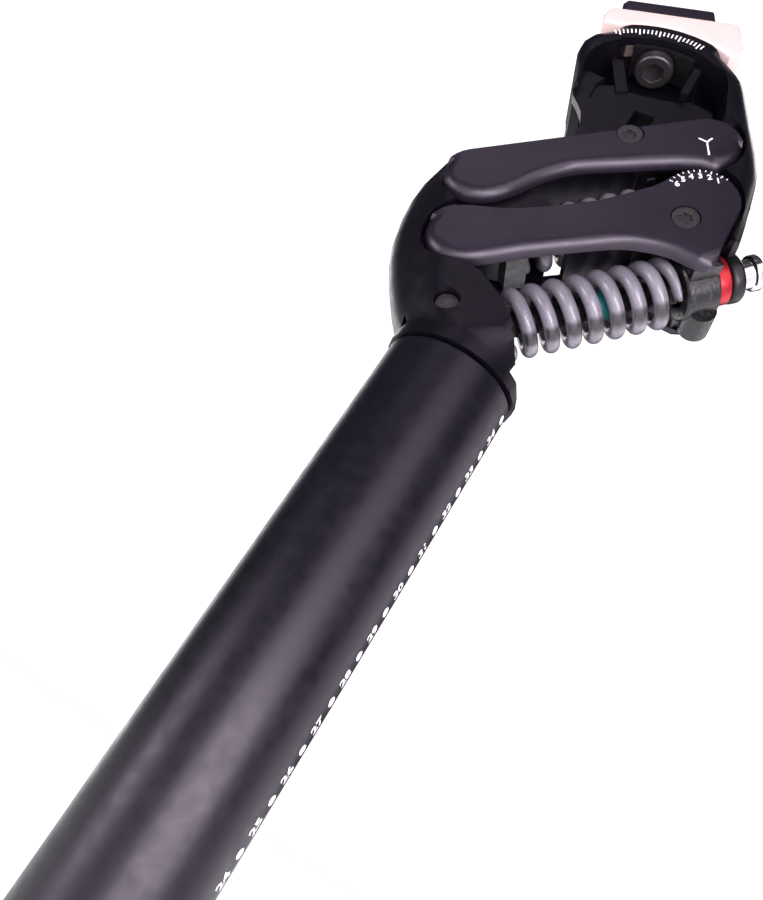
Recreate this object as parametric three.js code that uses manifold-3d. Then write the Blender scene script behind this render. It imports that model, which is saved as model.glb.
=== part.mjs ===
// Suspension seatpost: a parallelogram linkage with two coil springs on a round post.
// Millimetres. Z runs up the post axis, X points rearwards and Y to the bicycle's right.
// z = 0 is the groove between the post tube and the lower knuckle.
import * as THREE from "three";
import Module from "manifold-3d";
import { mergeVertices } from "three/addons/utils/BufferGeometryUtils.js";

const wasm = await Module();
wasm.setup();

// ---------------------------------------------------------------- driving dimensions
const gap = 0.3; // between pieces that touch on the real object

const post = { r: 15.45, wall: 2.4, length: 228 };
const collar = { r: 16.2, height: 5 };
const spigot = { r: 12.7, length: 26 };

const linkIn = 11.0; // inner face of a link plate
const linkOut = 14.5; // outer face of a link plate
const core = 10.7; // half width of what stands between the link plates
const knuckleHalf = 15.3;
const headHalf = 14.5;
const forkIn = 8.3; // inner face of the knuckle's ears

// Pivots in the XZ plane.
const upperFront = [-17.5, 47.5];
const lowerFront = [-12.5, 29.5];
const upperRear = [26.3, 82.2];
const lowerRearPivot = [31.3, 64.2];
const springAnchor = [-6.2, 10.1];
const seatPivot = [-7.9, 40.1];
const upperScrew = [8.6, 76.1];
const lowerScrew = [30.3, 56.9];

const upperNose = { at: [-18.6, 47.2], r: 8.2 }; // rounding of the links' front ends
const lowerNose = { at: [-13.2, 29.2], r: 8.5 };

const axle = { r: 3, bore: 3.2, end: 13.0 };
const linkScrew = { r: 1.7, hole: 2.0 };
const washer = { r: 6, smallR: 4.1, inner: 3.3, in: 10.15, out: 10.8 };
const springAngle = THREE.MathUtils.degToRad(43.3);
const mainAxisPoint = [18.0, 32.8]; // s = 0 on the main spring's axis
const secondAxisPoint = [12.5, 59.3]; // s = 0 on the second spring's axis

const cradle = { x: 5.8, z: 86.8, top: 30, roof: 24.9 };
const bolt = { y: 8.5, r: 3, headR: 5, headH: 3, hex: 2.9, faceX: 3.5, faceZ: 106.2 };
const clampTilt = Math.asin(-0.237); // of the clamp's axis from Z, towards X

const root = new THREE.Group();

// ---------------------------------------------------------------- materials
const finish = (color, roughness, metalness) =>
  new THREE.MeshStandardMaterial({ color, roughness, metalness });
const blackCoat = finish(0x17151a, 0.42, 0.4);
const blackSteel = finish(0x1d1c20, 0.35, 0.8);
const springGrey = finish(0x7b7a86, 0.4, 0.3);
const seatGrey = finish(0x5a5860, 0.5, 0.3);
const redCoat = finish(0xb01722, 0.35, 0.4);
const zinc = finish(0xb9bbc0, 0.25, 1.0);
const cream = finish(0xfae4da, 0.55, 0.0);
const bronze = finish(0x3a3634, 0.5, 0.5);

// ---------------------------------------------------------------- solids
// A closed three.js geometry as a manifold solid that faces out.
function solid(geometry) {
  const flat = geometry.index ? geometry.toNonIndexed() : geometry;
  const bare = new THREE.BufferGeometry();
  bare.setAttribute("position", flat.getAttribute("position"));
  const merged = mergeVertices(bare, 1e-5);
  const corners = merged.index.array;
  const triangles = [];
  for (let i = 0; i < corners.length; i += 3) {
    const [a, b, c] = corners.slice(i, i + 3);
    if (a !== b && b !== c && c !== a) triangles.push(a, b, c);
  }
  const build = (list) =>
    new wasm.Manifold(
      new wasm.Mesh({
        numProp: 3,
        vertProperties: new Float32Array(merged.attributes.position.array),
        triVerts: new Uint32Array(list),
      }),
    );
  const made = build(triangles);
  return made.volume() > 0 ? made : build(triangles.reverse());
}

const join = (...solids) => solids.reduce((a, b) => a.add(b));
const cut = (body, ...tools) => tools.reduce((a, b) => a.subtract(b), body);

function add(name, made, material, frame = root) {
  const mesh = made.getMesh();
  const geometry = new THREE.BufferGeometry();
  geometry.setAttribute("position", new THREE.BufferAttribute(mesh.vertProperties, 3));
  geometry.setIndex(new THREE.BufferAttribute(mesh.triVerts, 1));
  geometry.computeVertexNormals();
  const node = new THREE.Mesh(geometry, material);
  node.name = name;
  frame.add(node);
  return node;
}

// An XZ outline: a number pair is a corner, a list of pairs is a smooth run, and an arc is itself.
function outline(...parts) {
  const points = [];
  for (const part of parts) {
    if (typeof part[0] === "number") {
      points.push(new THREE.Vector2(...part));
      continue;
    }
    if (part[0].isVector2) {
      points.push(...part);
      continue;
    }
    const run = new THREE.SplineCurve(part.map((p) => new THREE.Vector2(...p)));
    points.push(...run.getPoints(Math.max(6, Math.round(run.getLength() / 4))));
  }
  const clean = points.filter((p, i) => i === 0 || p.distanceTo(points[i - 1]) > 0.05);
  if (clean[0].distanceTo(clean.at(-1)) < 0.05) clean.pop();
  return new THREE.Shape(clean);
}

// An arc about a pivot for an outline, from one angle to another in degrees.
function arc([x, z], r, from, to, steps = 10) {
  const points = [];
  for (let i = 0; i <= steps; i++) {
    const a = THREE.MathUtils.degToRad(from + ((to - from) * i) / steps);
    points.push(new THREE.Vector2(x + r * Math.cos(a), z + r * Math.sin(a)));
  }
  return points;
}

// An XZ outline extruded from y0 to y1, with its edges rounded or chamfered inwards.
function slab(shape, y0, y1, edge = 0, segments = 1) {
  const geometry = new THREE.ExtrudeGeometry(shape, {
    depth: y1 - y0 - 2 * edge,
    bevelEnabled: edge > 0,
    bevelThickness: edge,
    bevelSize: edge,
    bevelOffset: -edge,
    bevelSegments: segments,
    curveSegments: 16,
  });
  geometry.rotateX(Math.PI / 2).translate(0, y1 - edge, 0);
  return solid(geometry);
}

// A slab on the left (-1) or right (+1), given by distances from the middle plane.
function sideSlab(side, shape, inner, outer, edge = 0, segments = 1) {
  const [y0, y1] = side > 0 ? [inner, outer] : [-outer, -inner];
  return slab(shape, y0, y1, edge, segments);
}

// A cylinder across the post, along Y.
function across([x, z], r, y0, y1, sides = 24) {
  const geometry = new THREE.CylinderGeometry(r, r, y1 - y0, sides);
  return solid(geometry.translate(x, (y0 + y1) / 2, z));
}

const sideAcross = (side, at, r, inner, outer, sides = 24) =>
  side > 0 ? across(at, r, inner, outer, sides) : across(at, r, -outer, -inner, sides);

function box(x0, x1, y0, y1, z0, z1) {
  const geometry = new THREE.BoxGeometry(x1 - x0, y1 - y0, z1 - z0);
  return solid(geometry.translate((x0 + x1) / 2, (y0 + y1) / 2, (z0 + z1) / 2));
}

// A turned piece about Z, from a closed profile of radius and height pairs.
function turned(profile, sides = 28) {
  const points = profile.map((p) => new THREE.Vector2(...p));
  points.push(points[0].clone());
  return solid(new THREE.LatheGeometry(points, sides).rotateX(Math.PI / 2));
}

const ring = (inner, outer, z0, z1, chamfer = 0.3, sides = 28) =>
  turned(
    [
      [inner, z0],
      [outer - chamfer, z0],
      [outer, z0 + chamfer],
      [outer, z1 - chamfer],
      [outer - chamfer, z1],
      [inner, z1],
    ],
    sides,
  );

const disc = (r, z0, z1, sides = 24) =>
  solid(new THREE.CylinderGeometry(r, r, z1 - z0, sides).rotateX(Math.PI / 2).translate(0, 0, (z0 + z1) / 2));

// A solid through rings of points, each ring with the same count, closed at both ends.
function loft(rings) {
  const count = rings[0].length;
  const position = [];
  const middle = (list) =>
    list.reduce((sum, p) => sum.map((v, i) => v + p[i] / count), [0, 0, 0]);
  for (let k = 0; k + 1 < rings.length; k++) {
    for (let i = 0; i < count; i++) {
      const j = (i + 1) % count;
      const [a, b, c, d] = [rings[k][i], rings[k][j], rings[k + 1][j], rings[k + 1][i]];
      position.push(...a, ...b, ...c, ...a, ...c, ...d);
    }
  }
  const low = middle(rings[0]);
  const high = middle(rings.at(-1));
  for (let i = 0; i < count; i++) {
    const j = (i + 1) % count;
    position.push(...low, ...rings[0][j], ...rings[0][i]);
    position.push(...high, ...rings.at(-1)[i], ...rings.at(-1)[j]);
  }
  const geometry = new THREE.BufferGeometry();
  geometry.setAttribute("position", new THREE.BufferAttribute(new Float32Array(position), 3));
  return solid(geometry);
}

// A helical wire about Z whose end turns lie closer than the others.
class SpringCurve extends THREE.Curve {
  constructor(r, z0, z1, wire, turns) {
    super();
    Object.assign(this, { r, z0, z1, turns, dead: wire + 0.25 });
  }

  getPoint(t, target = new THREE.Vector3()) {
    const turn = t * this.turns;
    const end = 0.75; // turns at each end with the closer pitch
    const live = (this.z1 - this.z0 - 2 * end * this.dead) / (this.turns - 2 * end);
    const low = Math.min(turn, end);
    const high = Math.max(turn - (this.turns - end), 0);
    const z = this.z0 + (low + high) * this.dead + (turn - low - high) * live;
    const a = turn * 2 * Math.PI;
    return target.set(this.r * Math.cos(a), this.r * Math.sin(a), z);
  }
}

function coil(outerR, wire, z0, z1, turns) {
  const r = outerR - wire / 2;
  const path = new SpringCurve(r, z0 + wire / 2, z1 - wire / 2, wire, turns);
  const section = new THREE.Shape();
  section.absarc(0, 0, wire / 2, 0, 2 * Math.PI);
  const geometry = new THREE.ExtrudeGeometry(section, {
    steps: Math.round(turns * 13),
    curveSegments: 3,
    bevelEnabled: false,
    extrudePath: path,
  });
  return solid(geometry);
}

// A group whose local +Z lies along a spring's axis and whose origin is s = 0.
function springFrame([x, z]) {
  const group = new THREE.Group();
  group.position.set(x, 0, z);
  group.rotation.y = Math.PI / 2 - springAngle;
  root.add(group);
  return group;
}

// The point at distance s along a spring's axis and n above it.
const onAxis = ([x, z], s, n = 0) => [
  x + s * Math.cos(springAngle) - n * Math.sin(springAngle),
  z + s * Math.sin(springAngle) + n * Math.cos(springAngle),
];

const mainAt = (s, n) => onAxis(mainAxisPoint, s, n);
const secondAt = (s, n) => onAxis(secondAxisPoint, s, n);

// The point at distance u from a link's front pivot towards its rear one, and v above that line.
function alongLink([x, z], u, v) {
  const a = Math.atan2(upperRear[1] - upperFront[1], upperRear[0] - upperFront[0]);
  return [x + u * Math.cos(a) - v * Math.sin(a), z + u * Math.sin(a) + v * Math.cos(a)];
}

const alongUpper = (u, v) => alongLink(upperFront, u, v);
const alongLower = (u, v) => alongLink(lowerFront, u, v);

// The lower rear washer is small, because the perch's screw passes close by.
const washerRadius = (pivot) => (pivot === lowerRearPivot ? washer.smallR : washer.r);

// ---------------------------------------------------------------- post and lower knuckle
function postTube() {
  const chamfer = 0.5;
  const inner = post.r - post.wall;
  return turned(
    [
      [inner, -post.length],
      [post.r - chamfer, -post.length],
      [post.r, chamfer - post.length],
      [post.r, -chamfer - 0.2],
      [post.r - chamfer, -0.2],
      [inner, -0.2],
    ],
    64,
  );
}

// The knuckle's front edge in side view, from the collar up to the nose.
const noseRun = new THREE.SplineCurve(
  [
    [-16.2, 4.2],
    [-18.4, 6.4],
    [-22.6, 11.8],
    [-27.2, 19],
    [-30.6, 26.4],
    [-32.4, 34],
    [-33.1, 42],
    [-32.4, 49.5],
    [-30.6, 53.6],
  ].map((p) => new THREE.Vector2(...p)),
);

// One plan section: a half circle at the nose, straight sides, and a half circle or a flat end.
function planSection(front, r, rearX, z, round) {
  const points = [];
  const steps = 11;
  for (let i = 0; i <= steps; i++) {
    const a = Math.PI / 2 + (Math.PI * i) / steps;
    points.push([front + r + r * Math.cos(a), r * Math.sin(a), z]);
  }
  for (let i = 0; i <= steps; i++) {
    const a = -Math.PI / 2 + (Math.PI * i) / steps;
    points.push([rearX - round + round * Math.cos(a), r * Math.sin(a), z]);
  }
  return points;
}

function knuckleBulk() {
  const rings = [
    planSection(-collar.r, collar.r, collar.r, 0.25, collar.r),
    planSection(-collar.r, collar.r, collar.r, 3.4, collar.r),
  ];
  for (const p of noseRun.getPoints(10)) {
    const narrowing = THREE.MathUtils.smoothstep(p.y, 3, 12);
    const r = THREE.MathUtils.lerp(collar.r, knuckleHalf, narrowing);
    rings.push(planSection(p.x, r, 16.2, p.y, THREE.MathUtils.lerp(collar.r, 8, narrowing)));
  }
  const last = rings.at(-1);
  rings.push(last.map(([x, y]) => [x * 0.97, y * 0.93, 55.2]));
  return loft(rings);
}

// Everything of the knuckle in side view, behind its nose.
const knuckleSide = outline(
  [-45, -1],
  [17, -1],
  [16.6, 1.4],
  [[15.2, 3], [11.75, 7.5], [9.25, 11.25], [5.5, 15], [0.5, 18.1], [-3.2, 20.2]],
  [-4.9, 24],
  [-4.9, 33],
  [[-4, 35.5], [0.5, 38.2], [3, 42], [3, 47], [0, 50.5], [-5, 51.5], [-9, 52.5]],
  arc(upperFront, 7.6, 40, 135, 8),
  [-28.5, 50.5],
  [-32.5, 46.5],
  [-45, 46.5],
);

// Where the links' ends lie in the knuckle's sides, in side view.
const knuckleRecess = outline(
  [-60, 70],
  [-60, 50],
  [-33.4, 50],
  [-27.3, 44.6],
  [[-27.3, 44.6], [-25.6, 42], [-22.6, 39.2], [-18.75, 37.2]],
  [[-20.2, 35.2], [-21.8, 32.2], [-22.2, 29.4], [-21.5, 25.4], [-19.9, 22.4], [-17.4, 20.5], [-14.5, 19.9]],
  [[-14.5, 19.9], [-10.8, 20.7], [-7, 20.9], [-3.2, 20.2]],
  [60, 10],
  [60, 70],
);

const springCavity = outline([-14.6, 3.2], [50, 3.2], [50, 75.8], [-12.7, 16.9], [-14.6, 14.2]);

function lowerKnuckle() {
  let made = knuckleBulk().intersect(slab(knuckleSide, -20, 20));
  made = cut(made, slab(springCavity, -9.3, 9.3));
  for (const side of [-1, 1]) {
    made = cut(made, sideSlab(side, knuckleRecess, core, 20));
    for (const pivot of [upperFront, lowerFront]) {
      made = cut(made, sideAcross(side, pivot, washerRadius(pivot) + gap, 10, core + 1));
    }
  }
  made = cut(
    made,
    across(upperFront, axle.bore, -20, 20),
    across(lowerFront, axle.bore, -20, 20),
    across(springAnchor, 3, -20, 20),
    across(seatPivot, 2.3, -20, 20),
    across(seatPivot, 8.3, -forkIn, forkIn, 40),
    across(lowerFront, 4.6, -forkIn, forkIn),
    box(-8, 4, -forkIn, forkIn, 22.5, 60),
    cut(box(-14, -7, -forkIn, forkIn, 38, 60), across(upperFront, 7.6, -20, 20, 40)),
  );
  return join(made, ring(8.5, spigot.r, -spigot.length, 2, 0.8, 40));
}

function buildRoot() {
  add("post_tube", postTube(), blackCoat);
  add("lower_knuckle", lowerKnuckle(), blackCoat);
  add("spring_anchor_pin", across(springAnchor, 2.7, -13.4, 13.4, 24), blackSteel);
  add("upper_front_axle", across(upperFront, axle.r, -axle.end, axle.end), blackSteel);
  add("lower_front_axle", across(lowerFront, axle.r, -axle.end, axle.end), blackSteel);
  add("second_spring_pivot_pin", across(seatPivot, 2, -core, core, 20), blackSteel);
  addWashers("front", upperFront, lowerFront);
}

// Thrust washers on both sides of an upper and a lower pivot.
function addWashers(place, upper, lower) {
  for (const [level, pivot] of [["upper", upper], ["lower", lower]]) {
    for (const [hand, side] of [["left", -1], ["right", 1]]) {
      const made = cut(
        sideAcross(side, pivot, washerRadius(pivot), washer.in, washer.out, 24),
        across(pivot, washer.inner, -20, 20, 24),
      );
      add(`${level}_${place}_washer_${hand}`, made, bronze);
    }
  }
}

// ---------------------------------------------------------------- links
const upperTop = [
  arc(upperNose.at, upperNose.r, 222, 129, 8),
  [21.75, 88.9],
  arc(upperRear, 8.1, 122, -56, 14),
];
const upperLow = [
  [29.6, 75],
  [25.4, 74.4],
  [17.2, 69.8],
  [9.7, 65.2],
  [2.3, 60.7],
  [-1, 57.5],
  [-4.7, 53],
  [-8, 47.2],
  [-10.5, 44.2],
  [-13.8, 41.4],
  [-18.6, 39.6],
  [-22.4, 40.3],
];
const lowerTop = [
  [-17.3, 36.2],
  [-14.9, 37.6],
  [-10.75, 39.1],
  [-5.1, 41.6],
  [3, 46.9],
  [11.75, 53.75],
  [18, 60.6],
  [20.5, 63.4],
  [22.6, 67.4],
];
const lowerRearEdge = [[40.3, 63], [40.5, 58.75], [40.4, 53.75], [40.9, 49.5], [40.6, 47.4], [38.8, 46]];
const lowerLow = [
  [38.2, 45.9],
  [35.4, 46.1],
  [30.1, 46.4],
  [23.8, 44.9],
  [19.5, 43],
  [13.8, 39.2],
  [2.5, 31],
  [-5, 24.7],
  [-8.6, 22.4],
  [-12.2, 20.9],
];

// A link plate: a chamfered outline whose lower outer edge is also rounded.
// "raised" is the same lower edge closed by a line well above the plate.
function linkPlate(side, shape, raised, pivots, screw, counterbore) {
  const plate = sideSlab(side, shape, linkIn, linkOut, 0.45);
  const rounded = sideSlab(side, raised, linkIn - 4, linkOut, 3, 3);
  let made = plate.intersect(rounded);
  for (const pivot of pivots) {
    made = cut(made, sideAcross(side, pivot, axle.bore, linkIn - 1, axle.end + 0.2));
  }
  return cut(
    made,
    sideAcross(side, screw, counterbore, 12.6, 20),
    sideAcross(side, screw, linkScrew.hole, 5, 20, 20),
  );
}

function torxScrew(side, at, headR, threadEnd) {
  const star = new THREE.Shape();
  const lobes = 6;
  const points = 24;
  for (let i = 0; i < points; i++) {
    const a = (i / points) * 2 * Math.PI;
    const r = 1.55 + 0.28 * Math.cos(lobes * a);
    const [x, z] = [at[0] + r * Math.cos(a), at[1] + r * Math.sin(a)];
    if (i) star.lineTo(x, z);
    else star.moveTo(x, z);
  }
  return cut(
    join(sideAcross(side, at, headR, 12.9, 14.3, 28), sideAcross(side, at, linkScrew.r, threadEnd, 13.2, 20)),
    sideSlab(side, star, 13.3, 15),
  );
}

// The plate between the two lower links, over the main spring.
function lowerBridge() {
  const shape = outline(alongLower(24, -5.4), alongLower(40, -5.4), alongLower(40, -3.1), alongLower(24, -3.1));
  return slab(shape, 0.15 - linkIn, linkIn - 0.15);
}

function buildLinks() {
  const upper = outline(...upperTop, upperLow);
  const upperRaised = outline(
    [-33, 62],
    [-33, 47],
    arc(upperNose.at, upperNose.r, 178, 222, 4),
    upperLow.slice().reverse(),
    arc(upperRear, 8.1, -56, 20, 7),
    [44, 90],
    [36, 108],
  );
  const lower = outline(
    arc(lowerNose.at, lowerNose.r, 262, 128, 12),
    lowerTop,
    arc(lowerRearPivot, 9, 158, 6, 14),
    lowerRearEdge,
    lowerLow,
  );
  const lowerRaised = outline(
    [-30, 46],
    [-30, 30],
    arc(lowerNose.at, lowerNose.r, 178, 262, 8),
    lowerLow.slice().reverse(),
    [40.6, 47],
    [46, 56],
    [50, 66],
    [40, 90],
    [10, 80],
  );
  for (const [hand, side] of [["left", -1], ["right", 1]]) {
    const upperPivots = [upperFront, upperRear];
    const lowerPivots = [lowerFront, lowerRearPivot];
    add(`upper_link_${hand}`, linkPlate(side, upper, upperRaised, upperPivots, upperScrew, 3.4), blackCoat);
    add(`lower_link_${hand}`, linkPlate(side, lower, lowerRaised, lowerPivots, lowerScrew, 3.5), blackCoat);
    add(`upper_link_screw_${hand}`, torxScrew(side, upperScrew, 3.1, 4.5), blackSteel);
    add(`lower_link_screw_${hand}`, torxScrew(side, lowerScrew, 3.2, 8.2), blackSteel);
  }
  add("lower_link_bridge", lowerBridge(), blackCoat);
  add("upper_rear_axle", across(upperRear, axle.r, -axle.end, axle.end), blackSteel);
  add("lower_rear_axle", across(lowerRearPivot, axle.r, -axle.end, axle.end), blackSteel);
}

// ---------------------------------------------------------------- spring units
const mainSpring = { r: 8.65, wire: 3.6, front: -20.6, rear: 22.4, turns: 7.8 };
const secondSpring = { r: 8, wire: 3.6, front: -22.8, rear: 10.2, turns: 6 };
const perch = { r: 7.7, front: 22.8, rear: 31, bore: 4.3 };

// The perch: a barrel round the rod, two arms up to the lower link's screws, and a side lug.
function springPerch() {
  const barrel = intoFrameInverse(ring(perch.bore, perch.r, perch.front, perch.rear, 0.5), mainAxisPoint);
  const armShape = outline(
    mainAt(23.4, -3.5),
    mainAt(30.4, -3.5),
    mainAt(30.4, 3),
    arc(lowerScrew, 2.8, -5, 225, 12),
  );
  const arms = [-1, 1].map((side) => sideSlab(side, armShape, 6.4, core));
  const lugAt = mainAt(27.4, -6.4);
  const lug = across(lugAt, 3.6, 1, 9, 28);
  let made = join(barrel, ...arms, lug);
  made = cut(made, across(lowerScrew, linkScrew.hole, -20, 20, 20));
  made = cut(made, across(lugAt, 1.2, 8, 12, 16));
  const ringSpace = intoFrameInverse(disc(6.7, perch.rear, 42), mainAxisPoint);
  return cut(made, ringSpace, intoFrameInverse(disc(perch.bore, 15, 40), mainAxisPoint));
}

// A solid from a spring's group carried back into the row frame.
function intoFrameInverse(made, [x, z]) {
  const degrees = THREE.MathUtils.radToDeg(Math.PI / 2 - springAngle);
  return made.rotate([0, degrees, 0]).translate([x, 0, z]);
}

function rodEye() {
  const eye = across(springAnchor, 5, -5, 5);
  const neck = intoFrameInverse(disc(3, -33.2, 37.6), mainAxisPoint);
  const shoulder = intoFrameInverse(ring(1, 4.6, -27, -23.4), mainAxisPoint);
  return cut(join(eye, neck, shoulder), across(springAnchor, 3, -20, 20, 24));
}

function boltHead() {
  const head = turned([
    [0, 38.2],
    [3.6, 38.2],
    [3.6, 41.4],
    [4.4, 41.7],
    [4.4, 43.4],
    [3.9, 43.9],
    [0, 43.9],
  ]);
  const socket = solid(new THREE.CylinderGeometry(2.2, 2.2, 4, 6).rotateX(Math.PI / 2).translate(0, 0, 44.2));
  return cut(head, socket);
}

function buildMainSpring() {
  const frame = springFrame(mainAxisPoint);
  add("spring_perch", springPerch(), blackCoat);
  add("preload_rod", rodEye(), blackSteel);
  add("main_spring_washer", ring(4.9, 8.4, -23.1, -20.9, 0.3), seatGrey, frame);
  add("main_spring", coil(mainSpring.r, mainSpring.wire, mainSpring.front, mainSpring.rear, mainSpring.turns), springGrey, frame);
  add("red_ring", ring(3.3, 6, perch.rear + gap, 34.4), redCoat, frame);
  add("black_ring", ring(3.3, 6.15, 34.7, 38), blackSteel, frame);
  add("preload_bolt_head", boltHead(), zinc, frame);
}

// The front seat: an eye on the knuckle's pin, carrying a block that the second spring rests on.
function secondFrontSeat() {
  const block = outline(secondAt(-28.4, -7.6), secondAt(-23.2, -8.2), secondAt(-23.2, 7.6), secondAt(-27, 6), secondAt(-30, 3.4));
  const eye = across(seatPivot, 4.2, -7.3, 7.3);
  const made = join(slab(block, -7.3, 7.3, 0.5), eye);
  return cut(made, across(seatPivot, 2.3, -20, 20, 20), intoFrameInverse(disc(3.3, -25.6, -20, 24), secondAxisPoint));
}

// The rear seat, hung between the upper link's screws, and its web towards the front pivot.
function secondRearSeat() {
  const flange = intoFrameInverse(ring(3.4, 7.4, 10.6, 13.2), secondAxisPoint);
  const armShape = outline(
    secondAt(10.7, 5),
    secondAt(13.1, 5),
    secondAt(12.9, 13.6),
    secondAt(11.2, 17),
    secondAt(8.7, 17.8),
    secondAt(6.1, 16.4),
    secondAt(6.1, 12.6),
    secondAt(10.7, 9.6),
  );
  const webShape = outline(alongUpper(9.8, 1.5), alongUpper(40, 1.5), alongUpper(40, 6), alongUpper(12, 6));
  const arm = join(slab(armShape, -7.9, 7.9, 0.4), slab(webShape, -7.9, 7.9, 0.4));
  return cut(join(flange, arm), across(upperScrew, linkScrew.hole, -20, 20, 20));
}

function buildSecondSpring() {
  const frame = springFrame(secondAxisPoint);
  add("second_spring_seat", secondFrontSeat(), seatGrey);
  add("second_spring_rear_seat", secondRearSeat(), blackCoat);
  add("second_spring_guide", disc(2.6, -25.3, 20, 24), blackSteel, frame);
  add("second_spring", coil(secondSpring.r, secondSpring.wire, secondSpring.front, secondSpring.rear, secondSpring.turns), springGrey, frame);
}

// ---------------------------------------------------------------- head
const cradleArc = (r, from, to, steps) => arc([cradle.x, cradle.z], r, from, to, steps);

const headFront = [
  [-10.4, 111.6],
  [-13.3, 109.4],
  [-15.8, 107.2],
  [-16.7, 102.7],
  [-15.4, 98.9],
  [-13.2, 94.5],
  [-11.8, 88.6],
];
const headRear = [
  [43.6, 57.2],
  [43, 62.5],
  [42.3, 66.8],
  [41, 75.3],
  [39.7, 80.4],
  [36.5, 87.4],
  [33.3, 93.8],
  [30.1, 100.2],
  [26.9, 106.6],
  [23.7, 110],
  [18, 114.2],
];
const spineRim = [
  [26.2, 93.6],
  [30.5, 91.1],
  [33.8, 87.3],
  [35, 82.6],
  [34.5, 78.9],
  [32.9, 75.3],
];
const spineRimLow = [
  [32.9, 75.3],
  [35.7, 74],
  [37.8, 72.3],
  [40.4, 68.4],
  [41.5, 63.3],
  [41.2, 57.4],
];

function headShell() {
  const ring = outline(
    headFront,
    [-9.2, 88.6],
    [[-8.2, 91.5], [-6.4, 95.4], [-2, 98.4], [6, 100.6], [14, 100.4], [20, 98.6], [26.2, 93.6]],
    spineRim,
    spineRimLow,
    [42.4, 56.2],
    headRear,
    cradleArc(cradle.top, 62, 122, 16),
  );
  const silhouette = outline(
    headFront,
    [-11.8, 70],
    [20, 40],
    [43.6, 50],
    headRear,
    [17, 122],
    [-10.4, 122],
  );
  return slab(ring, -headHalf, headHalf).intersect(slab(silhouette, -headHalf, headHalf, 3.4, 3));
}

// The pocket in each side, under the cradle's roof.
const pocket = outline(
  [-10.1, 84],
  [-10.9, 91],
  [[-12.2, 95], [-12.6, 98.9], [-10.75, 103.9], [-7.4, 107.1]],
  cradleArc(cradle.roof, 122, 62, 10),
  [[20.4, 107.8], [22.8, 104.5], [24.25, 100.1], [25.4, 96.4], [26.2, 93.6]],
  [26, 84],
);

function headRibs(side) {
  const left = outline([-7.8, 104.4], [-4.9, 105.2], [1, 94.4], [-1.6, 93]);
  const right = outline([13.2, 108.4], [15.2, 107.8], [15.4, 98], [13.4, 98]);
  return join(sideSlab(side, left, 2, 10.5), sideSlab(side, right, 2, 12.2));
}

// The pocket's floor, with a thin skirt on each side that closes the window above the links.
function headFloor() {
  const floor = outline(
    [[-8.6, 91.6], [0, 92.2], [8, 93], [14, 93.6], [24, 94.6]],
    [[22.8, 97.2], [16.3, 98.6]],
    [[14, 97], [6, 95.4], [-1, 95], [-3.4, 95.5]],
    [-9.6, 92.8],
  );
  const skirt = outline(
    [[-8, 87.4], [-0.8, 88.1], [6.7, 89.1], [12.5, 89.5], [20, 89.8]],
    [24, 94.2],
    [14, 95],
    [-3, 94],
    [-9, 92.4],
  );
  const skirts = [-1, 1].map((side) => sideSlab(side, skirt, 8.3, 9.8));
  return join(slab(floor, -9.8, 9.8), ...skirts);
}

// Walls between the link plates: one carries the rear pivots, one closes the side below the pocket.
function headCheeks(side) {
  const rear = outline(
    arc(upperRear, 7.6, 100, 270, 12),
    [28.5, 72],
    arc(lowerRearPivot, 4.2, 140, 290, 8),
    [36, 62.6],
    [41.6, 59],
    [42, 70],
    [37, 84],
    [31, 93.4],
  );
  const front = outline(
    [-12, 93],
    [[-12, 88.6], [-10.5, 86], [-7.4, 83], [-5.5, 79.9], [-4.8, 76.8], [-4.4, 73]],
    [-3.2, 70.6],
    [14, 70],
    [20, 74],
    [24, 75],
    [24, 89.9],
    [12.5, 89.5],
    [6.7, 89.1],
    [-0.8, 88.1],
    [-7, 87.6],
    [-7.5, 96],
    [-11, 96],
  );
  return join(sideSlab(side, rear, 8, core), sideSlab(side, front, 8.3, core));
}

function headForging() {
  let made = headShell();
  for (const side of [-1, 1]) made = cut(made, sideSlab(side, pocket, 2.5, 20));
  for (const side of [-1, 1]) made = join(made, headRibs(side), headCheeks(side));
  const bridge = slab(outline([-11.9, 88.6], [-10.7, 86.4], [-8, 86.4], [-8.6, 90.4], [-6.2, 96], [-12.5, 97]), -core, core);
  made = join(made, bridge, headFloor());
  const screwPath = box(5.4, 10.9, -11, 11, 73.6, 89.4); // of the upper links' screws as the head sinks
  made = cut(made, box(20, 50, -8, 8, 50, 70), screwPath);
  for (const side of [-1, 1]) {
    const slotY = side * bolt.y;
    made = cut(made, box(-7.2, 10.8, slotY - 3.6, slotY + 3.6, 107.5, 122));
    for (const pivot of [upperRear, lowerRearPivot]) {
      made = cut(made, sideAcross(side, pivot, washerRadius(pivot) + gap, 10, 20));
    }
  }
  return cut(made, across(upperRear, axle.bore, -20, 20), across(lowerRearPivot, axle.bore, -20, 20));
}

function buildHead() {
  add("head_forging", headForging(), blackCoat);
  addWashers("rear", upperRear, lowerRearPivot);
}

// ---------------------------------------------------------------- saddle clamp
const clampUp = [Math.sin(clampTilt), Math.cos(clampTilt)];

// A solid about Z carried to the bolt's place on one side, with z = 0 at its head's lower face.
function atBolt(side, made) {
  const degrees = THREE.MathUtils.radToDeg(clampTilt);
  return made.rotate([0, degrees, 0]).translate([bolt.faceX, side * bolt.y, bolt.faceZ]);
}

function boltHoles(r) {
  return [-1, 1].map((side) => atBolt(side, disc(r, 3, 40, 28)));
}

function spacerBlock() {
  const shape = outline(
    cradleArc(cradle.top + gap, 121, 62, 16),
    [22.4, 114.8],
    [22.2, 118.4],
    [[18.9, 125.1], [17.9, 126.3], [16.75, 126.5]],
    [-12, 119.5],
    [[-13.6, 119], [-14.8, 117.9], [-15.4, 115.1]],
    [-14.6, 112.3],
  );
  return cut(slab(shape, -headHalf, headHalf, 0.8, 2), ...boltHoles(3.3));
}

const plateCorner = [-11.9, 119.86];

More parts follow.
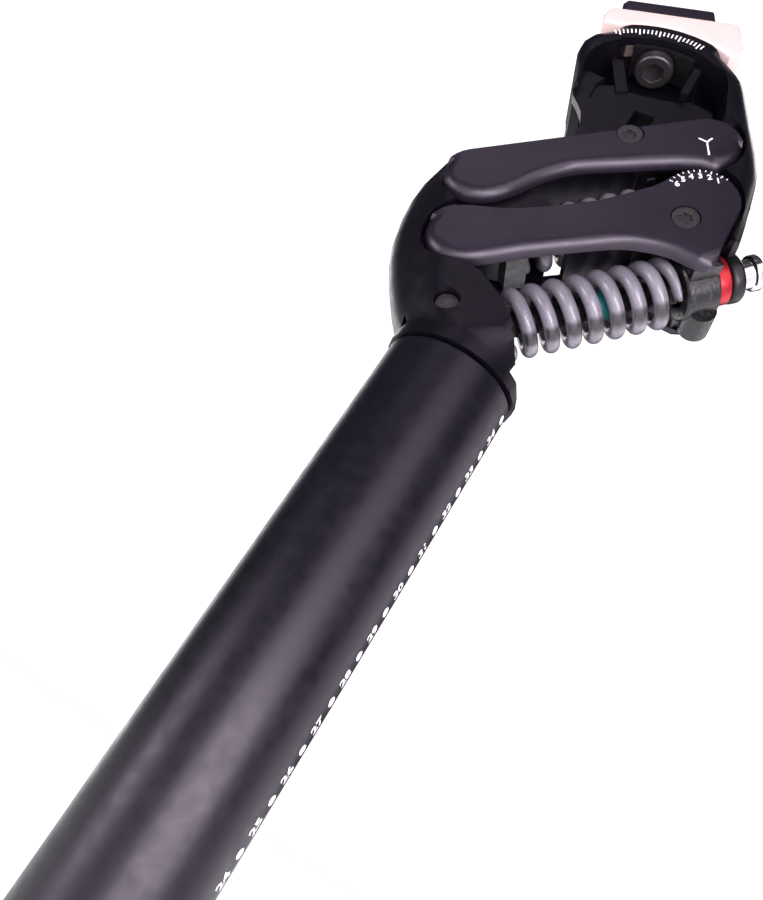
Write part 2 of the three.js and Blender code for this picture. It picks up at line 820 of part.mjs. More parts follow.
function upperPlate() {
  const along = [clampUp[1], -clampUp[0]];
  const at = (a, b) => [
    plateCorner[0] + a * along[0] + b * clampUp[0],
    plateCorner[1] + a * along[1] + b * clampUp[1],
  ];
  const shape = outline(at(0, 0), at(23.6, 0), at(24.6, 1.4), at(23.8, 5.2), at(0.8, 5.2), at(-0.4, 3.6));
  return cut(slab(shape, -13.4, 13.4, 0.5), ...[-1, 1].map((side) => atBolt(side, disc(3.2, 3, 21, 28))));
}

function clampBolt(side) {
  const shank = disc(bolt.r, bolt.headH - 0.2, 20.4, 28);
  const head = ring(1.2, bolt.headR, 0, bolt.headH, 0.4, 32);
  const socket = solid(new THREE.CylinderGeometry(bolt.hex, bolt.hex, 4, 6).rotateX(Math.PI / 2).translate(0, 0, 0.4));
  return atBolt(side, cut(join(head, shank, disc(2, 0.6, bolt.headH)), socket));
}

// A plate under the cradle's roof that slides with the bolt, seated on the bolt's head.
function curvedWasher(side) {
  const [thin, wide] = [cradle.roof - 1.5, cradle.roof - gap];
  const shape = outline(cradleArc(wide, 113.5, 74, 12), cradleArc(thin, 74, 113.5, 12));
  const plate = sideSlab(side, shape, bolt.y - 4.4, bolt.y + 4.4);
  const headSpace = atBolt(side, disc(bolt.headR + gap, -3, bolt.headH + gap, 32));
  return cut(plate, headSpace, atBolt(side, disc(bolt.r + gap, 0, 20, 28)));
}

function buildClamp() {
  add("rail_spacer_block", spacerBlock(), cream);
  add("upper_clamp_plate", upperPlate(), blackCoat);
  for (const [hand, side] of [["left", -1], ["right", 1]]) {
    add(`clamp_bolt_${hand}`, clampBolt(side), blackSteel);
    add(`curved_washer_${hand}`, curvedWasher(side), blackSteel);
  }
}

buildRoot();
buildLinks();
buildMainSpring();
buildSecondSpring();
buildHead();
buildClamp();

export default root;
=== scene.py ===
"""Looks for the suspension seatpost: materials, springs, threads, printed scales, light and camera."""
from math import cos, sin, pi, radians, sqrt

import bpy
import bmesh
from mathutils import Matrix, Vector


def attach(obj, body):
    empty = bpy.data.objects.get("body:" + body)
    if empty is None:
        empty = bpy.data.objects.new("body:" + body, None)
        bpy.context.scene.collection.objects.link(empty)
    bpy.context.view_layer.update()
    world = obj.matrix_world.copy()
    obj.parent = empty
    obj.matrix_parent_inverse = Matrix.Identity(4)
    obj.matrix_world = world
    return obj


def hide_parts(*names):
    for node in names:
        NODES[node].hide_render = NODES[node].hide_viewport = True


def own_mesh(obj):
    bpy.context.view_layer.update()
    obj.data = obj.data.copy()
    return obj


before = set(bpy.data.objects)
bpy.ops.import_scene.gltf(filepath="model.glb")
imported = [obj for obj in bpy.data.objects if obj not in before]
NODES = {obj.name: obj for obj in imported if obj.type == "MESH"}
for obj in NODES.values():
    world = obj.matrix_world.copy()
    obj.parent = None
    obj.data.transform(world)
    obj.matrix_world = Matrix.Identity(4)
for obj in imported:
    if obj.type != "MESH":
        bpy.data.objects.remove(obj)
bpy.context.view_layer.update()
MM = 0.001

# ------------------------------------------------------------------ driving dimensions, millimetres
POST_R = 15.45
LINK_FACE = -14.5  # Y of the left links' outer faces
LINK_ANGLE = radians(38.4)  # of the links from level, at rest
SPRING_ANGLE = radians(43.3)  # of both springs' axes from level, at rest
LOWER_FRONT, LOWER_REAR = (-12.5, 29.5), (31.3, 64.2)  # the lower links' pivots, on X and Z
CRADLE = (5.8, 86.8)  # centre of the clamp's arc, on X and Z

# Each spring: the point of its axis where s = 0, on X and Z, its outer radius, its wire's thickness,
# where it starts and ends along the axis, and its turns.
MAIN = {"origin": (18.0, 32.8), "r": 8.65, "wire": 3.6, "front": -20.6, "rear": 22.4, "turns": 7.9}
SECOND = {"origin": (12.5, 59.3), "r": 8.0, "wire": 3.6, "front": -22.8, "rear": 10.2, "turns": 6.1}
CLOSED_TURNS, CLOSED_GAP = 0.75, 0.1  # at each end of a spring
STEPS_PER_TURN, WIRE_SIDES = 44, 18
TIP_THICKNESS, TIP_GROWTH = 0.45, 1.6  # of the wire's ends, and per turn from there
MARK_HALF_ANGLE = 0.27  # of the dark mark on each turn
MARK_GAIN, MARK_CUT = 3.4, 0.9  # how the mark fades round the wire

# Turned pieces on the preload rod, from s0 to s1 along the main spring's axis.
ROD_THREAD = {"s0": -19, "s1": 36, "r": 3.3, "pitch": 1.0}
THREAD_PATCH = {"s0": 2.0, "s1": 6.0, "inner": 2.9, "outer": 3.5, "edge": 0.3}
RED_RING = {"s0": 31.3, "s1": 34.4, "inner": 3.5, "outer": 6.0, "edge": 0.35}
BLACK_RING = {"s0": 34.7, "s1": 38, "inner": 3.5, "outer": 6.15, "edge": 0.9}
THREAD_DEPTH, THREAD_CORE = 0.35, 1.2  # below the crests
THREAD_CREST = (0.42, 0.58)  # from and to, as shares of the pitch
LATHE_SIDES = 56
EDGE_STEPS = 4  # along a rounded edge

# The lip, measured from the lower front pivot along and across the link.
LIP = {"along": (40.3, 47.6), "across": (-5.3, -3.3), "half_width": 10.7}

# Printed marks.
FACE_LIFT, TUBE_LIFT = 0.03, 0.04  # above the surface
BOLDNESS = 0.035  # how much a numeral's strokes are widened, as a share of its size
SCALE = {"dots": 12, "pitch": 10, "top": -4.0, "side": -1.2, "first": 34, "text": 3.6}
DOT = {"around": 1.3, "along": 1.1, "sides": 12}
LINK_SCALE = {"numbers": 6, "start": 78, "step": 18.2, "text": 2.2, "text_turn": 30}
LINK_TICK_R, LINK_HALF_TICK_R, LINK_NUMBER_R = 8.25, 8.45, 6.7
LINK_TICK, LINK_HALF_TICK = (0.9, 0.3), (0.5, 0.22)  # length and width
TILT_SCALE = {"ticks": 23, "start": 124.5, "step": 2.22, "rim": 28.2, "long": 2.2, "short": 1.6, "width": 0.4}
POINTER = {"fork": (25.9, 81.6), "stem": (27.9, 77.7), "arms": ((23.7, 81.9), (26.6, 83.4))}
STEM_WIDTH, ARM_WIDTH = 0.42, 0.46

# How the CAD nodes are smoothed.
WELD_METRES = 2e-6
SMOOTH_BELOW, BEVEL_ABOVE = radians(36), radians(42)
PLAIN_BEVEL = 0.15
BEVEL_MM = {"lower_knuckle": 0.35, "head_forging": 0.4, "rail_spacer_block": 0.5, "upper_clamp_plate": 0.4}

FLOOR_Z = -0.2285  # metres, half a millimetre below the post's end

ALONG = Vector((cos(SPRING_ANGLE), 0, sin(SPRING_ANGLE)))
BELOW = Vector((sin(SPRING_ANGLE), 0, -cos(SPRING_ANGLE)))
RIGHT = Vector((0, 1, 0))


def on_axis(unit, s, r=0.0, a=0.0):
    """A point in metres: s along a spring's axis, r from it, at angle a from below the axis."""
    x, z = unit["origin"]
    start = Vector((x, 0, z))
    return (start + ALONG * s + (BELOW * cos(a) + RIGHT * sin(a)) * r) * MM


def turned(shape, u, v, turn=0.0):
    """A shape's (a, b) corners turned by an angle and moved to (u, v)."""
    c, s = cos(turn), sin(turn)
    return [(u + a * c - b * s, v + a * s + b * c) for a, b in shape]


def scaled(color, factor):
    """A colour with its three channels multiplied, and opaque."""
    return tuple(channel * factor for channel in color[:3]) + (1,)


# ------------------------------------------------------------------ node materials
class Nodes:
    """A short way to write a material's node tree."""

    def __init__(self, name):
        self.material = bpy.data.materials.new(name)
        self.material.use_nodes = True
        self.tree = self.material.node_tree
        self.shader = self.tree.nodes["Principled BSDF"]
        self.place = self.add("ShaderNodeTexCoord").outputs["Object"]

    def add(self, kind, inputs=None, **settings):
        node = self.tree.nodes.new(kind)
        for key, value in settings.items():
            setattr(node, key, value)
        for key, value in (inputs or {}).items():
            if isinstance(value, bpy.types.NodeSocket):
                self.tree.links.new(value, node.inputs[key])
            else:
                node.inputs[key].default_value = value
        return node

    def noise(self, size_mm, detail=3.0, stretch=(1, 1, 1)):
        """Noise whose cells are about size_mm across."""
        place = self.add("ShaderNodeMapping", {"Vector": self.place, "Scale": stretch})
        inputs = {"Vector": place.outputs[0], "Scale": 1 / (size_mm * MM), "Detail": detail}
        return self.add("ShaderNodeTexNoise", inputs).outputs["Fac"]

    def ramp(self, fac, low, high, out_low=0.0, out_high=1.0):
        """fac spread from low..high to out_low..out_high."""
        inputs = {"Value": fac, "From Min": low, "From Max": high, "To Min": out_low, "To Max": out_high}
        return self.add("ShaderNodeMapRange", inputs).outputs[0]

    def blend(self, fac, a, b):
        """Colour a where fac is 0 and colour b where it is 1."""
        node = self.add("ShaderNodeMix", data_type="RGBA")
        for socket, value in zip((node.inputs[0], node.inputs[6], node.inputs[7]), (fac, a, b)):
            if isinstance(value, bpy.types.NodeSocket):
                self.tree.links.new(value, socket)
            else:
                socket.default_value = value
        return node.outputs[2]

    def product(self, a, b):
        return self.add("ShaderNodeMath", {0: a, 1: b}, operation="MULTIPLY").outputs[0]

    def bump(self, height, depth_mm, strength=0.5):
        inputs = {"Height": height, "Distance": depth_mm * MM, "Strength": strength}
        self.set("Normal", self.add("ShaderNodeBump", inputs).outputs[0])

    def set(self, socket, value):
        """Sets or links one of the shader's own sockets."""
        if isinstance(value, bpy.types.NodeSocket):
            self.tree.links.new(value, self.shader.inputs[socket])
        else:
            self.shader.inputs[socket].default_value = value


def black_coat(name, base=(0.0085, 0.0065, 0.012, 1), rough=(0.3, 0.38), dust=0.4, gloss=0.5):
    """Satin black anodised aluminium: fine grain, cloudy gloss and a few specks of dust."""
    n = Nodes(name)
    cloud = n.noise(14, 4)
    specks = n.ramp(n.noise(0.9, 2), 0.74, 0.8)
    tone = n.blend(n.ramp(cloud, 0.3, 0.75), base, scaled(base, 1.4))
    n.set("Base Color", n.blend(n.product(specks, dust), tone, scaled(base, 2.2)))
    n.set("Roughness", n.ramp(n.noise(3, 4), 0.3, 0.7, *rough))
    n.set("Specular IOR Level", gloss)
    n.set("Specular Tint", (0.96, 0.86, 1.0, 1))
    n.bump(n.noise(0.16, 2), 0.012, 0.35)
    return n.material


def scuffed_coat(name):
    """Black paint with rubbed, greasy patches, for the perch."""
    n = Nodes(name)
    rubs = n.ramp(n.noise(1.6, 5, (1, 1, 2.2)), 0.52, 0.66)
    n.set("Base Color", n.blend(rubs, (0.005, 0.0045, 0.006, 1), (0.026, 0.024, 0.027, 1)))
    n.set("Roughness", n.ramp(rubs, 0, 1, 0.28, 0.6))
    n.set("Specular IOR Level", 0.45)
    n.bump(n.noise(0.9, 5), 0.09, 0.6)
    return n.material


def metal(name, color, rough, grain_mm=0.3, metallic=1.0, depth=0.01):
    """Plain or coated metal with fine grain and uneven gloss."""
    n = Nodes(name)
    n.set("Base Color", n.blend(n.ramp(n.noise(2.2, 4), 0.35, 0.7), color, scaled(color, 0.72)))
    n.set("Roughness", n.ramp(n.noise(1.1, 3), 0.3, 0.7, rough * 0.8, rough * 1.3))
    n.set("Metallic", metallic)
    n.bump(n.noise(grain_mm, 3), depth, 0.4)
    return n.material


def spring_paint():
    """Grey gloss paint; the "mark" attribute shows where it is dark."""
    n = Nodes("spring_paint")
    mark = n.add("ShaderNodeAttribute", attribute_name="mark").outputs["Fac"]
    tone = n.blend(n.ramp(n.noise(6, 4), 0.35, 0.7), (0.145, 0.132, 0.165, 1), (0.175, 0.162, 0.195, 1))
    dirt = n.ramp(n.noise(0.7, 4), 0.62, 0.74)
    tone = n.blend(n.product(dirt, 0.5), tone, (0.1, 0.095, 0.11, 1))
    # A dark patch at the same angle on every turn, fading round the wire.
    dark_mark = n.product(mark, n.ramp(n.noise(0.8, 4), 0.2, 0.32))
    n.set("Base Color", n.blend(dark_mark, tone, (0.02, 0.018, 0.021, 1)))
    n.set("Roughness", n.ramp(n.noise(1.5, 3), 0.3, 0.7, 0.26, 0.36))
    n.set("Coat Weight", 0.35)
    n.set("Coat Roughness", 0.12)
    n.bump(n.noise(1.2, 4), 0.03, 0.35)
    return n.material


def cream_plastic():
    """Pale moulded plastic with a faint mottled tone, which lets a little light in."""
    n = Nodes("cream_plastic")
    tone = n.blend(n.ramp(n.noise(9, 4), 0.3, 0.75), (0.7, 0.53, 0.51, 1), (0.72, 0.56, 0.545, 1))
    n.set("Base Color", tone)
    n.set("Roughness", n.ramp(n.noise(1.5, 3), 0.3, 0.7, 0.45, 0.6))
    n.set("Subsurface Weight", 0.15)
    n.set("Subsurface Radius", (0.004, 0.002, 0.0015))
    n.bump(n.noise(0.5, 3), 0.015, 0.3)
    return n.material


def print_ink():
    """White printed ink, slightly thin in places."""
    n = Nodes("print_ink")
    thin = n.ramp(n.noise(0.35, 3), 0.5, 0.72)
    n.set("Base Color", n.blend(thin, (0.86, 0.85, 0.87, 1), (0.5, 0.48, 0.52, 1)))
    n.set("Roughness", 0.55)
    n.set("Specular IOR Level", 0.3)
    return n.material


COAT = black_coat("black_coat")
TUBE = black_coat("tube_coat", base=(0.0025, 0.0022, 0.005, 1), rough=(0.32, 0.42), dust=0.2, gloss=0.42)
# The forged parts' coat is darker and less glossy than the links' coat. This is painted shade, so the head's
# pocket looks as dark as a deep recess.
FORGED_SHADED = black_coat("forged_shaded_coat", base=(0.003, 0.0025, 0.0045, 1), rough=(0.3, 0.4), dust=0.5, gloss=0.24)
PERCH = scuffed_coat("perch_coat")
STEEL = metal("black_steel", (0.032, 0.03, 0.033, 1), 0.34, metallic=0.8)
SCREW = metal("screw_steel", (0.09, 0.082, 0.09, 1), 0.36, metallic=0.8)
ZINC = metal("zinc", (0.72, 0.72, 0.74, 1), 0.16, grain_mm=0.8)
SEAT = metal("seat_grey", (0.1, 0.1, 0.105, 1), 0.45, metallic=0.4)
RED = metal("red_anodised", (0.42, 0.012, 0.022, 1), 0.3, metallic=0.55)
BRONZE = metal("washer_bronze", (0.1, 0.085, 0.07, 1), 0.4, metallic=0.7)
TEAL = metal("thread_patch", (0.01, 0.16, 0.17, 1), 0.5, metallic=0.0, depth=0.06)
CREAM = cream_plastic()
SPRING = spring_paint()
INK = print_ink()

NODE_MATERIAL = {
    "post_tube": TUBE,
    "lower_knuckle": FORGED_SHADED,
    "head_forging": FORGED_SHADED,
    "spring_perch": PERCH,
    "rail_spacer_block": CREAM,
    "upper_clamp_plate": COAT,
    "second_spring_seat": SEAT,
    "second_spring_rear_seat": FORGED_SHADED,
    "lower_link_bridge": FORGED_SHADED,
    "main_spring_washer": SEAT,
    "red_ring": RED,
    "preload_bolt_head": ZINC,
}


def material_of(name):
    """A CAD node's material, from the table or else from its name."""
    if name in NODE_MATERIAL:
        return NODE_MATERIAL[name]
    if "screw" in name or name.startswith("clamp_bolt") or name == "spring_anchor_pin":
        return SCREW
    if "link" in name:
        return COAT
    if "washer" in name and "curved" not in name:
        return BRONZE
    return STEEL


# ------------------------------------------------------------------ smooth shading of the CAD nodes
def geometry_group(name, build):
    """A geometry node group with one geometry in and out; build(group, source) returns the result."""
    group = bpy.data.node_groups.new(name, "GeometryNodeTree")
    group.interface.new_socket("Geometry", in_out="INPUT", socket_type="NodeSocketGeometry")
    group.interface.new_socket("Geometry", in_out="OUTPUT", socket_type="NodeSocketGeometry")
    source = group.nodes.new("NodeGroupInput").outputs[0]
    result = build(group, source)
    group.links.new(result, group.nodes.new("NodeGroupOutput").inputs[0])
    return group


def build_weld(group, source):
    """Joins corners that lie together."""
    weld = group.nodes.new("GeometryNodeMergeByDistance")
    group.links.new(source, weld.inputs["Geometry"])
    weld.inputs["Distance"].default_value = WELD_METRES
    return weld.outputs[0]


def build_smooth(group, source):
    """Shades every face smooth and every edge by its angle."""
    edge = group.nodes.new("GeometryNodeInputMeshEdgeAngle")
    soft = group.nodes.new("ShaderNodeMath")
    soft.operation = "LESS_THAN"
    soft.inputs[1].default_value = SMOOTH_BELOW
    group.links.new(edge.outputs["Unsigned Angle"], soft.inputs[0])
    faces = group.nodes.new("GeometryNodeSetShadeSmooth")
    faces.domain = "FACE"
    group.links.new(source, faces.inputs["Geometry"])
    edges = group.nodes.new("GeometryNodeSetShadeSmooth")
    edges.domain = "EDGE"
    group.links.new(faces.outputs[0], edges.inputs["Geometry"])
    group.links.new(soft.outputs[0], edges.inputs["Shade Smooth"])
    return edges.outputs[0]


WELD = geometry_group("weld_corners", build_weld)
SMOOTH = geometry_group("smooth_by_angle", build_smooth)


def smooth_by_angle(obj):
    obj.modifiers.new("smooth", "NODES").node_group = SMOOTH


def dress(obj, bevel_mm):
    """Welds a node's corners, breaks its sharp edges a little and shades it smooth."""
    obj.modifiers.new("weld", "NODES").node_group = WELD
    bevel = obj.modifiers.new("edges", "BEVEL")
    bevel.width = bevel_mm * MM
    bevel.segments = 2
    bevel.limit_method = "ANGLE"
    bevel.angle_limit = BEVEL_ABOVE
    bevel.use_clamp_overlap = True
    smooth_by_angle(obj)
    normals = obj.modifiers.new("normals", "WEIGHTED_NORMAL")
    normals.mode = "FACE_AREA"
    normals.keep_sharp = True


for node_name, node in NODES.items():
    node.data.materials.clear()
    node.data.materials.append(material_of(node_name))
    dress(node, BEVEL_MM.get(node_name, PLAIN_BEVEL))


# ------------------------------------------------------------------ pieces made here
def piece(name, mesh, material, body, smooth=True):
    """An object for a mesh, riding on a body and, where one is given, in a material slot."""
    mesh.materials.append(material)
    if smooth:
        mesh.shade_smooth()
    obj = bpy.data.objects.new(name, mesh)
    bpy.context.scene.collection.objects.link(obj)
    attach(obj, body)
    return obj


def face_outwards(mesh):
    """Turns every face of a closed mesh outwards."""
    fix = bmesh.new()
    fix.from_mesh(mesh)
    bmesh.ops.recalc_face_normals(fix, faces=fix.faces)
    fix.to_mesh(mesh)
    fix.free()


def tube_mesh(name, rings, marks=None):
    """A tube through rings of points, closed at both ends, with an optional mark on each point."""
    mesh = bpy.data.meshes.new(name)
    count = len(rings[0])
    points = [p for ring in rings for p in ring]
    faces = []
    for k in range(len(rings) - 1):
        for i in range(count):
            j = (i + 1) % count
            faces.append((k * count + i, k * count + j, (k + 1) * count + j, (k + 1) * count + i))
    faces.append(tuple(reversed(range(count))))
    faces.append(tuple(range(len(points) - count, len(points))))
    mesh.from_pydata(points, [], faces)
    if marks:
        layer = mesh.attributes.new("mark", "FLOAT", "POINT")
        layer.data.foreach_set("value", marks)
    face_outwards(mesh)
    return mesh


def wire_along(unit, turn):
    """How far along its axis a spring's wire is after some turns; the end turns lie closed."""
    wire, turns = unit["wire"], unit["turns"]
    first, last = unit["front"] + wire / 2, unit["rear"] - wire / 2
    closed = wire + CLOSED_GAP
    pitch = (last - first - 2 * CLOSED_TURNS * closed) / (turns - 2 * CLOSED_TURNS)
    low, high = min(turn, CLOSED_TURNS), max(turn - turns + CLOSED_TURNS, 0)
    return first + (low + high) * closed + (turn - low - high) * pitch


def mark_strength(near, b):
    """How dark the wire's mark is: near is the angle from the mark, and b goes round the wire from outside.
    """
    along = max(0.0, 1 - (near / MARK_HALF_ANGLE) ** 6)
    return along * max(0.0, min(1.0, MARK_GAIN * cos(b) - MARK_CUT))


def coil(name, unit, body, phase, mark_angle):
    """A round-wire spring with closed, tapering end turns and one dark mark on each turn."""
    half, turns = unit["wire"] / 2, unit["turns"]
    steps = round(turns * STEPS_PER_TURN)
    rings, marks = [], []
    for k in range(steps + 1):
        turn = turns * k / steps
        s = wire_along(unit, turn)
        a = 2 * pi * turn + phase
        thin = min(1.0, TIP_THICKNESS + TIP_GROWTH * min(turn, turns - turn))
        near = (a - mark_angle + pi) % (2 * pi) - pi
        around = [2 * pi * i / WIRE_SIDES for i in range(WIRE_SIDES)]
        rings.append([
            on_axis(unit, s + half * thin * sin(b), unit["r"] - half + half * cos(b), a) for b in around
        ])
        marks += [mark_strength(near, b) for b in around]
    return piece(name, tube_mesh(name, rings, marks), SPRING, body)


def lathe(name, unit, profile, material, body):
    """A piece turned about a spring's axis from a closed profile of distance and radius pairs."""
    mesh = bpy.data.meshes.new(name)
    count = len(profile)
    angles = [2 * pi * k / LATHE_SIDES for k in range(LATHE_SIDES)]
    points = [on_axis(unit, s, r, a) for a in angles for s, r in profile]
    faces = []
    for k in range(LATHE_SIDES):
        for i in range(count):
            j, m = (i + 1) % count, (k + 1) % LATHE_SIDES
            faces.append((k * count + i, k * count + j, m * count + j, m * count + i))
    mesh.from_pydata(points, [], faces)
    face_outwards(mesh)
    obj = piece(name, mesh, material, body)
    smooth_by_angle(obj)
    return obj


def rounded(s0, s1, inner, outer, edge):
    """A ring's closed profile with rounded outer edges."""
    turn = [pi / 2 * k / EDGE_STEPS for k in range(EDGE_STEPS + 1)]
    front = [(s0 + edge - edge * cos(t), outer - edge + edge * sin(t)) for t in turn]
    back = [(s1 - edge + edge * sin(t), outer - edge + edge * cos(t)) for t in turn]
    return [(s0, inner)] + front + back + [(s1, inner)]


def thread(s0, s1, r, pitch):
    """A screw thread's closed profile: a row of ridges over a core."""
    ridges = int((s1 - s0) / pitch)
    from_share, to_share = THREAD_CREST
    profile = [(s0, r - THREAD_CORE)]
    for k in range(ridges):
        s = s0 + k * pitch
        profile += [(s, r - THREAD_DEPTH), (s + from_share * pitch, r), (s + to_share * pitch, r)]
    return profile + [(s0 + pitch * ridges, r - THREAD_CORE)]


def build_springs():
    """Both springs, in place of the CAD springs."""
    main = coil("main_spring_coil", MAIN, "preload_unit", phase=0.0, mark_angle=radians(-24))
    second = coil("second_spring_coil", SECOND, "second_spring_unit", phase=1.0, mark_angle=radians(-150))
    for obj, unit, node, keep in ((main, MAIN, "main_spring", 0.71), (second, SECOND, "second_spring", 0.81)):
        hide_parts(node)
        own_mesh(obj)


def build_preload_parts():
    """The rod's thread with its coloured patch, and the two turned rings."""
    lathe("rod_thread", MAIN, thread(**ROD_THREAD), STEEL, "preload_unit")
    lathe("thread_patch", MAIN, rounded(**THREAD_PATCH), TEAL, "preload_unit")
    ring = lathe("red_ring_turned", MAIN, rounded(**RED_RING), RED, "preload_unit")
    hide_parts("red_ring")
    ring = lathe("black_ring_turned", MAIN, rounded(**BLACK_RING), STEEL, "preload_unit")
    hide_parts("black_ring")


def build_link_lip():
    """A lip between the lower links, reaching back over the main spring's end."""
    (u0, u1), (v0, v1) = LIP["along"], LIP["across"]
    section = turned([(u0, v0), (u1, v0), (u1, v1), (u0, v1)], *LOWER_FRONT, LINK_ANGLE)
    sides = (-LIP["half_width"], LIP["half_width"])
    rings = [[Vector((x, y, z)) * MM for x, z in section] for y in sides]
    piece("link_lip", tube_mesh("link_lip", rings), FORGED_SHADED, "lower_link", smooth=False)


# ------------------------------------------------------------------ printed marks
def printed(name, outlines, place, body):
    """Flat white shapes, each a list of (u, v) corners, set on a surface by place(u, v)."""
    mesh = bpy.data.meshes.new(name)
    points, faces = [], []
    for shape in outlines:
        faces.append(tuple(range(len(points), len(points) + len(shape))))
        points += [place(u, v) for u, v in shape]
    mesh.from_pydata(points, [], faces)
    return piece(name, mesh, INK, body, smooth=False)


def bar(u, v, du, dv, turn=0.0):
    """A rectangle centred on (u, v), turned by an angle."""
    corners = [(-du / 2, -dv / 2), (du / 2, -dv / 2), (du / 2, dv / 2), (-du / 2, dv / 2)]
    return turned(corners, u, v, turn)


def tick(centre, r, a, length, width):
    """A radial bar at angle a, with its middle r from a centre."""
    return bar(centre[0] + r * cos(a), centre[1] + r * sin(a), length, width, a)


def numeral(text, size):
    """A number's filled outline as triangles of (u, v) corners, centred on the origin."""
    curve = bpy.data.curves.new("numeral", "FONT")
    curve.body = text
    curve.size = size
    curve.align_x, curve.align_y = "CENTER", "CENTER"
    curve.offset = size * BOLDNESS
    curve.resolution_u = 3
    holder = bpy.data.objects.new("numeral", curve)
    bpy.context.scene.collection.objects.link(holder)
    bpy.context.view_layer.update()
    mesh = bpy.data.meshes.new_from_object(holder)
    shapes = [[tuple(mesh.vertices[i].co[:2]) for i in face.vertices] for face in mesh.polygons]
    bpy.data.objects.remove(holder)
    return shapes


def moved(shapes, u, v, turn=0.0):
    return [turned(shape, u, v, turn) for shape in shapes]


def on_left_face(u, v):
    return Vector((u, LINK_FACE - FACE_LIFT, v)) * MM


def on_tube(u, v):
    """u runs round the tube from its rear line and v along it."""
    r = POST_R + TUBE_LIFT
    return Vector((r * cos(u / POST_R), r * sin(u / POST_R), v)) * MM


def dot(u, v):
    """An oval spot centred on (u, v)."""
    angles = [2 * pi * i / DOT["sides"] for i in range(DOT["sides"])]
    return [(DOT["around"] * cos(a) + u, v + DOT["along"] * sin(a)) for a in angles]


def build_insertion_scale():
    """A row of dots down the tube's rear, with numbers counting down between them."""
    side, pitch = SCALE["side"], SCALE["pitch"]
    marks = []
    for k in range(SCALE["dots"]):
        z = SCALE["top"] - pitch * k
        marks.append(dot(side, z))
        marks += moved(numeral(str(SCALE["first"] - k), SCALE["text"]), side, z - pitch / 2, pi / 2)
    printed("insertion_scale", marks, on_tube, "post")


def build_link_scale():
    """Numbered ticks on an arc about the lower rear pivot, with a small tick before each."""
    x, z = LOWER_REAR
    step, text_turn = LINK_SCALE["step"], radians(LINK_SCALE["text_turn"])
    marks = []
    for k in range(LINK_SCALE["numbers"]):
        a = radians(LINK_SCALE["start"] + step * k)
        u, v = x + LINK_NUMBER_R * cos(a), z + LINK_NUMBER_R * sin(a)
        marks.append(tick(LOWER_REAR, LINK_TICK_R, a, *LINK_TICK))
        marks += moved(numeral(str(k + 1), LINK_SCALE["text"]), u, v, text_turn)
        marks.append(tick(LOWER_REAR, LINK_HALF_TICK_R, a - radians(step / 2), *LINK_HALF_TICK))
    printed("link_scale", marks, on_left_face, "lower_link")


def stroke(start, end, width):
    """A straight line of some width between two points."""
    du, dv = end[0] - start[0], end[1] - start[1]
    length = sqrt(du * du + dv * dv)
    nu, nv = -dv / length * width / 2, du / length * width / 2
    return [
        (start[0] + nu, start[1] + nv),
        (start[0] - nu, start[1] - nv),
        (end[0] - nu, end[1] - nv),
        (end[0] + nu, end[1] + nv),
    ]


def build_pointer():
    """The pointer on the upper link, two short arms on a stem."""
    fork = POINTER["fork"]
    marks = [stroke(fork, POINTER["stem"], STEM_WIDTH)]
    marks += [stroke(fork, arm, ARM_WIDTH) for arm in POINTER["arms"]]
    printed("pointer", marks, on_left_face, "upper_link")


def build_tilt_scale():
    """Radial ticks on the cradle's rim, with every fifth one longer."""
    marks = []
    for k in range(TILT_SCALE["ticks"]):
        a = radians(TILT_SCALE["start"] - TILT_SCALE["step"] * k)
        length = TILT_SCALE["long"] if k % 5 == 1 else TILT_SCALE["short"]
        marks.append(tick(CRADLE, TILT_SCALE["rim"] - length / 2, a, length, TILT_SCALE["width"]))
    printed("tilt_scale", marks, on_left_face, "head")


# ------------------------------------------------------------------ stage, light and camera
def build_stage():
    """A plain white floor."""
    bpy.ops.mesh.primitive_plane_add(size=6, location=(0, 0, FLOOR_Z))
    floor = bpy.context.object
    floor.name = "floor"
    n = Nodes("floor_white")
    n.set("Base Color", (0.97, 0.97, 0.97, 1))
    n.set("Roughness", 0.9)
    n.set("Emission Color", (1, 1, 1, 1))
    n.set("Emission Strength", 0.93)
    floor.data.materials.append(n.material)


def build_world():
    """White behind the object, and a dimmer soft surround that lights it."""
    world = bpy.data.worlds.new("studio")
    world.use_nodes = True
    bpy.context.scene.world = world
    tree = world.node_tree
    back = tree.nodes["Background"]
    back.inputs["Color"].default_value = (0.93, 0.9, 1.0, 1)
    back.inputs["Strength"].default_value = 0.07
    white = tree.nodes.new("ShaderNodeBackground")
    white.inputs["Color"].default_value = (1, 1, 1, 1)
    white.inputs["Strength"].default_value = 1.2
    path = tree.nodes.new("ShaderNodeLightPath")
    mix = tree.nodes.new("ShaderNodeMixShader")
    tree.links.new(path.outputs["Is Camera Ray"], mix.inputs[0])
    tree.links.new(back.outputs[0], mix.inputs[1])
    tree.links.new(white.outputs[0], mix.inputs[2])
    tree.links.new(mix.outputs[0], tree.nodes["World Output"].inputs[0])


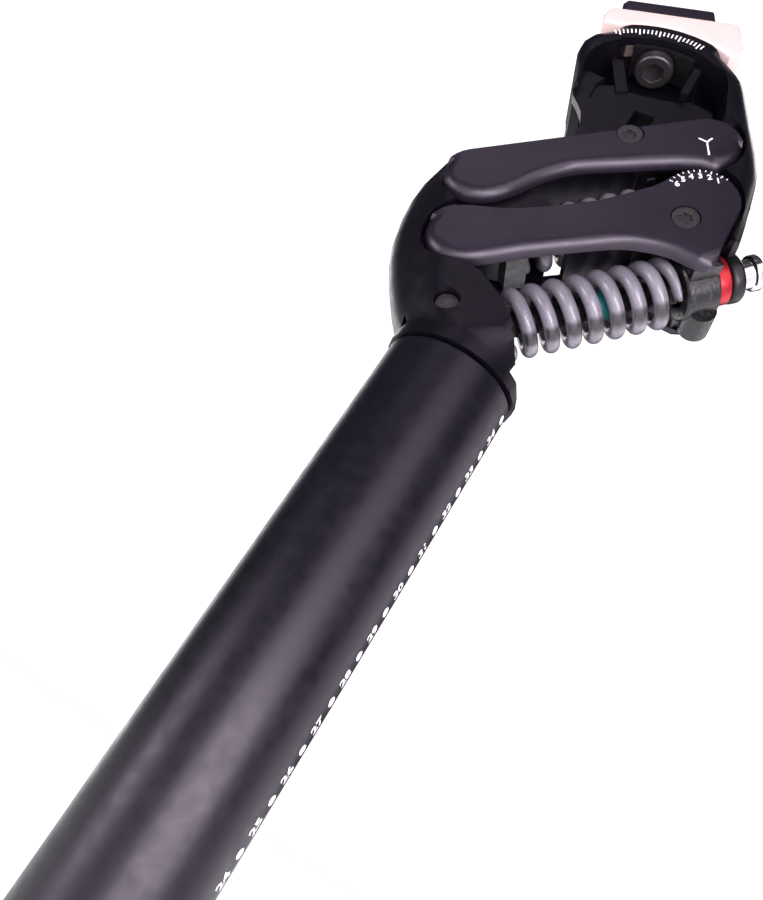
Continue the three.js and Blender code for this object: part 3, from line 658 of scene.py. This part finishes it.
def softbox(name, at, target, size, power, color=(1, 1, 1)):
    """A rectangular area light at a point, in metres, facing another."""
    data = bpy.data.lights.new(name, "AREA")
    data.shape = "RECTANGLE"
    data.size, data.size_y = size
    data.energy = power
    data.color = color
    lamp = bpy.data.objects.new(name, data)
    lamp.location = at
    aim = Vector(target) - Vector(at)
    lamp.rotation_euler = aim.to_track_quat("-Z", "Y").to_euler()
    bpy.context.scene.collection.objects.link(lamp)


def build_lights():
    """Large soft lights all round, named by where they stand or what they do."""
    middle = (0.01, 0, 0.04)
    softbox("key", (0.5, -0.85, 0.25), middle, (0.7, 0.6), 3.4, (1, 0.93, 0.98))
    softbox("fill", (-0.35, -0.85, 0.75), middle, (0.5, 0.5), 0.8, (1, 0.92, 1))
    softbox("edge", (0.24, -0.34, -0.13), (0.01, 0, 0.06), (0.4, 0.16), 2.3, (1, 0.94, 1))
    softbox("left", (-0.5, -0.45, -0.15), middle, (0.3, 0.2), 1.5, (1, 0.94, 1))
    softbox("rear", (0.72, 0.5, 0.12), middle, (0.8, 0.9), 3.4, (1, 0.9, 1))
    softbox("front", (-0.62, 0.66, 0.2), middle, (0.3, 0.8), 2.0, (1, 0.94, 1))
    softbox("top", (0.2, 0.35, 1.0), middle, (0.6, 0.4), 4)


def build_camera():
    """The view from low on the left, turned by its right and forward directions."""
    data = bpy.data.cameras.new("camera")
    data.sensor_width = 36
    data.lens = 33.386
    data.clip_start = 0.01
    camera = bpy.data.objects.new("camera", data)
    right = Vector((0.8575, 0.0525, 0.5118))
    forward = Vector((-0.2787, 0.8836, 0.3763)).normalized()
    up = right.cross(forward).normalized()
    right = forward.cross(up)
    turn = Matrix((right, up, -forward)).transposed()
    camera.matrix_world = Matrix.Translation((0.04681, -0.16193, -0.09171)) @ turn.to_4x4()
    bpy.context.scene.collection.objects.link(camera)
    bpy.context.scene.camera = camera


build_springs()
build_preload_parts()
build_link_lip()
build_insertion_scale()
build_link_scale()
build_pointer()
build_tilt_scale()
build_stage()
build_world()
build_lights()
build_camera()
bpy.context.scene.view_settings.view_transform = "Standard"
